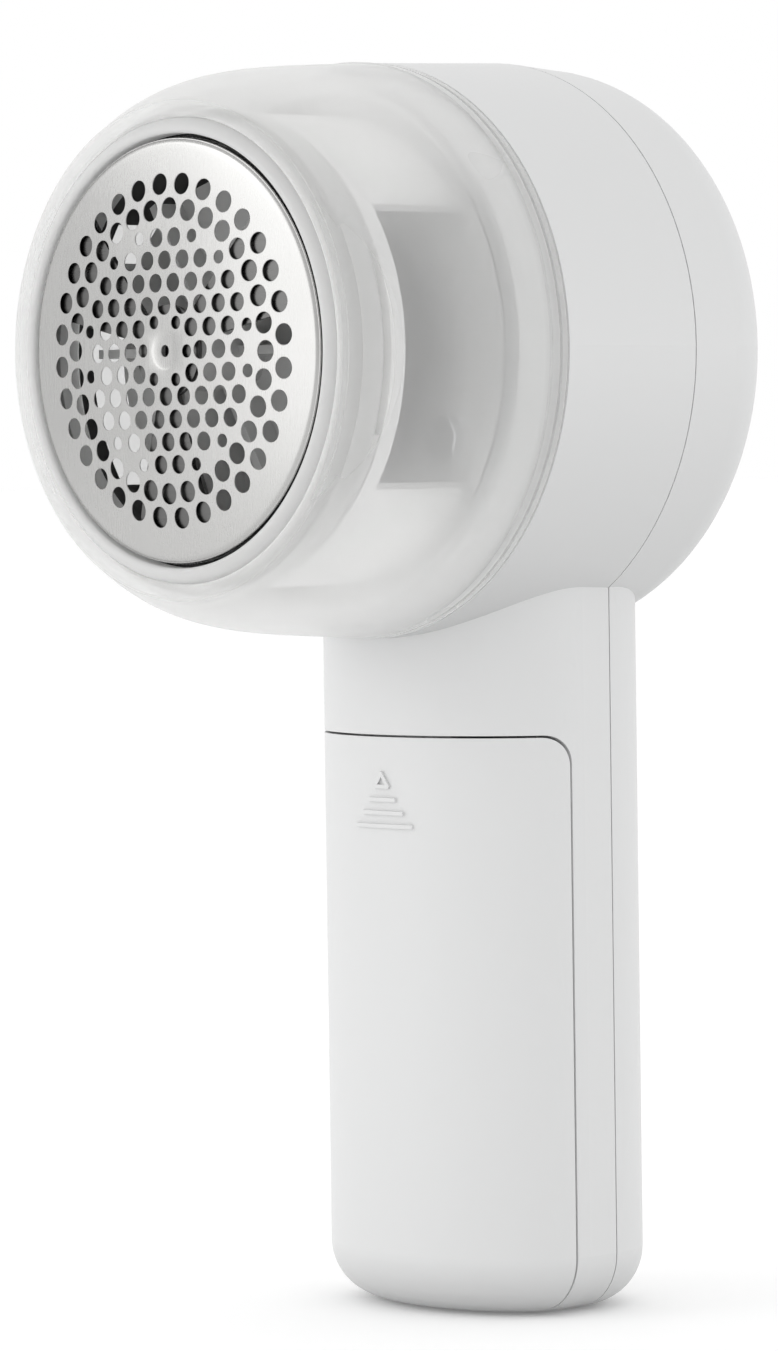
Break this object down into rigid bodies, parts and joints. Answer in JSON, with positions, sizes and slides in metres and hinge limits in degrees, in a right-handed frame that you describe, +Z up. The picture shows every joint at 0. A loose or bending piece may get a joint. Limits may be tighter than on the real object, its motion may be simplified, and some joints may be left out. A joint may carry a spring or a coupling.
{
  "type": "fabric shaver",
  "caption": "Battery fabric shaver with a round head, domed perforated foil in a frosted lint cover, spinning cutter and a straight handle with a sliding battery door.",
  "frame": {"origin": "centre of the bounding box in x and y, at the handle's flat foot", "axes": "+Z up along the handle towards the head, -Y the way the foil faces, +X to the right seen from behind the foil"},
  "size_m": [0.0664, 0.0691, 0.1429],
  "materials": {
    "foil_steel": "brushed",
    "frosted": "frosted",
    "grey_plastic": "satin",
    "chamber_plastic": "satin",
    "screw_steel": "polished",
    "blade_steel": "polished",
    "hub_plastic": "satin",
    "spring_steel": "polished",
    "brass_parts": "satin",
    "shaft_steel": "polished",
    "core_steel": "satin",
    "copper": "satin",
    "can_steel": "satin",
    "magnet": "matte",
    "cap_plastic": "satin",
    "housing_white": "satin",
    "cell_jacket": "satin",
    "contact_nickel": "polished",
    "black_plastic": "matte",
    "knob_grey": "satin",
    "lead_black": "satin",
    "lead_red": "satin"
  },
  "bodies": {
    "body": {"cutter_chamber": "chamber_plastic", "chamber_screws": "screw_steel", "motor_can": "can_steel", "motor_bush_front": "brass_parts", "motor_bush_rear": "brass_parts", "motor_magnets": "magnet", "motor_cap": "cap_plastic", "motor_brushes": "brass_parts", "motor_terminals": "brass_parts", "motor_bracket": "grey_plastic", "bracket_screws": "screw_steel", "front_housing": "housing_white", "rear_housing": "housing_white", "housing_screws": "screw_steel", "battery_tray": "grey_plastic", "tray_screws": "screw_steel", "cell_left": "cell_jacket", "cell_right": "cell_jacket", "contact_bridge": "contact_nickel", "contact_positive": "contact_nickel", "contact_negative": "contact_nickel", "spring_lower": "spring_steel", "spring_upper": "spring_steel", "switch_body": "black_plastic", "switch_screws": "screw_steel", "lead_negative": "lead_black", "lead_positive": "lead_red", "lead_switched": "lead_red"},
    "rotor": {"cutter_blades": "blade_steel", "cutter_hub": "hub_plastic", "cutter_spring": "spring_steel", "shaft_collar": "brass_parts", "motor_shaft": "shaft_steel", "armature_core": "core_steel", "armature_windings": "copper", "commutator": "copper"},
    "cover": {"lint_cover": "frosted"},
    "ring": {"foil_ring": "frosted", "foil_mesh": "foil_steel", "foil_retainer": "chamber_plastic"},
    "door": {"battery_door": "housing_white"},
    "switch": {"switch_knob": "knob_grey", "switch_slider": "black_plastic"}
  },
  "joints": [
    {"name": "cutter_spin", "type": "hinge", "parent": "body", "child": "rotor", "pos_m": [0, -0.03305, 0.1097], "axis": [0, 1, 0], "continuous": true},
    {"name": "cover_pull", "type": "slide", "parent": "body", "child": "cover", "axis": [0, -1, 0], "range_m": [0, 0.04]},
    {"name": "ring_twist", "type": "hinge", "parent": "cover", "child": "ring", "pos_m": [0, -0.03305, 0.1097], "axis": [0, 1, 0], "range_deg": [0, 30]},
    {"name": "door_slide", "type": "slide", "parent": "body", "child": "door", "axis": [0, 0, -1], "range_m": [0, 0.07]},
    {"name": "switch_slide", "type": "slide", "parent": "body", "child": "switch", "axis": [0, 0, 1], "range_m": [0, 0.004]}
  ]
}
